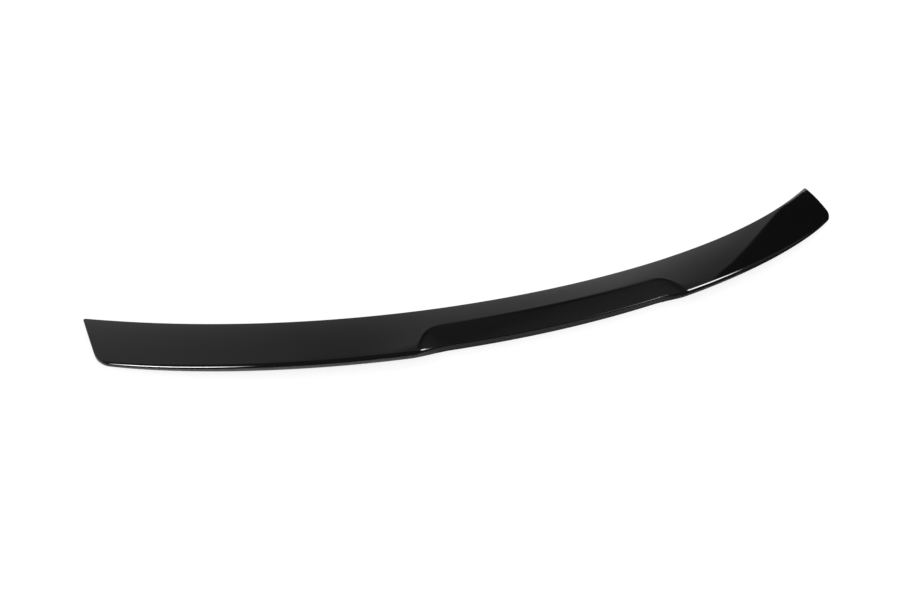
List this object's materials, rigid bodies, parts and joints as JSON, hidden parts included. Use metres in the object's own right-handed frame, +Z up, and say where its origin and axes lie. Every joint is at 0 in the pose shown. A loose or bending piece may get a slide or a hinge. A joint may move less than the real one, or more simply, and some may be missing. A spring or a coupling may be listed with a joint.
{
  "type": "car rear spoiler",
  "caption": "Bow-shaped gloss black boot-lid lip spoiler: a crowned top skin with a shallow scooped middle, a rounded lip and a leaning rear face over an open underside.",
  "frame": {"origin": "bottom centre of the blade's box as it lies on its foot: midway along its length and depth, at the level of the foot's flat edge", "axes": "+X along the blade, across the car; +Y towards the car's front, from the lip to the leading edge; +Z up, from the foot to the top skin"},
  "size_m": [1.1982, 0.2006, 0.0227],
  "materials": {
    "gloss_black_plastic": "gloss"
  },
  "bodies": {
    "root": {"spoiler_blade": "gloss_black_plastic"}
  },
  "joints": []
}
